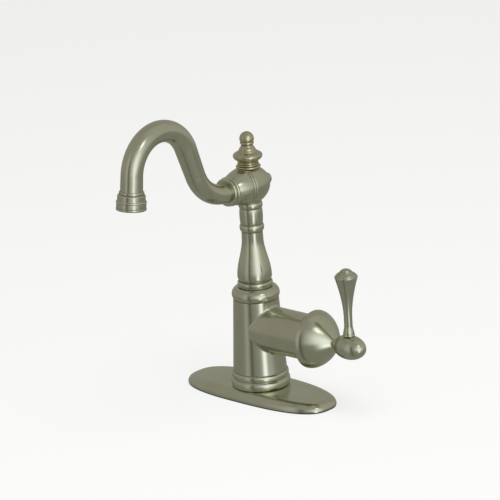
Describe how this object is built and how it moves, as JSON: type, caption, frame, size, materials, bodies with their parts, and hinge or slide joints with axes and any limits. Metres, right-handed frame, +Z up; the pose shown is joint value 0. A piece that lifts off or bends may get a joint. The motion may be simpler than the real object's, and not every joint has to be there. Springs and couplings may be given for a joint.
{
  "type": "gooseneck bar faucet",
  "caption": "Single-lever bar faucet with an oval deck plate, tapered body, turned pillar, finial, swan-neck spout and a bell-and-lever side handle.",
  "frame": {"origin": "centre of the deck face, on the axis of the spout pillar", "axes": "+Z up along the pillar, +X out along the side handle, -Y forward along the spout at rest"},
  "size_m": [0.2018, 0.1876, 0.2741],
  "materials": {
    "satin_nickel": "satin nickel plating, brushed round the axis",
    "warm_nickel": "satin nickel plating, a little warmer",
    "brass": "machined brass, unplated",
    "steel": "stainless steel, turned",
    "rubber": "moulded black rubber, matt",
    "white_plastic": "moulded white acetal",
    "grey_plastic": "moulded grey acetal",
    "disc_ceramic": "lapped alumina"
  },
  "bodies": {
    "base": {"plate_gasket": "rubber", "deck_plate": "satin_nickel", "foot_seal": "rubber", "valve_body": "satin_nickel", "inlet_block": "brass", "collar_nut": "satin_nickel", "thrust_washer": "white_plastic", "port_seals": "rubber", "cartridge_base": "white_plastic", "fixed_disc": "disc_ceramic", "cartridge_case": "white_plastic", "cartridge_nut": "brass"},
    "spout": {"spout_pillar": "satin_nickel", "spigot_seals": "rubber", "spout_clip": "white_plastic", "spout_hub": "satin_nickel", "hub_rear_cap": "satin_nickel", "hub_front_ring": "satin_nickel", "spout_tube": "satin_nickel", "outlet_collar": "satin_nickel", "aerator_washer": "rubber", "aerator_insert": "grey_plastic", "aerator_shell": "satin_nickel", "finial_washer": "rubber", "finial": "warm_nickel"},
    "mixing_rotor": {"rotor_sleeve": "grey_plastic", "pivot_pin": "steel"},
    "handle": {"lever_stem": "brass", "handle_bell": "satin_nickel", "set_screw": "steel", "ball_stud": "steel", "handle_ball": "satin_nickel", "lever": "satin_nickel", "lever_button": "satin_nickel"},
    "flow_disc": {"moving_disc": "disc_ceramic", "disc_carrier": "grey_plastic"}
  },
  "joints": [
    {"name": "spout_swivel", "type": "hinge", "parent": "base", "child": "spout", "pos_m": [0, 0, 0.10048], "axis": [0, 0, 1], "continuous": true},
    {"name": "handle_mix", "type": "hinge", "parent": "base", "child": "mixing_rotor", "pos_m": [0.05, 0, 0.063], "axis": [1, 0, 0], "range_deg": [-45, 45]},
    {"name": "handle_lift", "type": "hinge", "parent": "mixing_rotor", "child": "handle", "pos_m": [0.054, 0, 0.063], "axis": [0, 1, 0], "range_deg": [0, 16]},
    {"name": "disc_slide", "type": "slide", "parent": "mixing_rotor", "child": "flow_disc", "axis": [0, 0, 1], "range_m": [0, 0.0046]}
  ],
  "couplings": [
    {"joint": "disc_slide", "follows": "handle_lift", "m_per_rad": 0.01612}
  ]
}
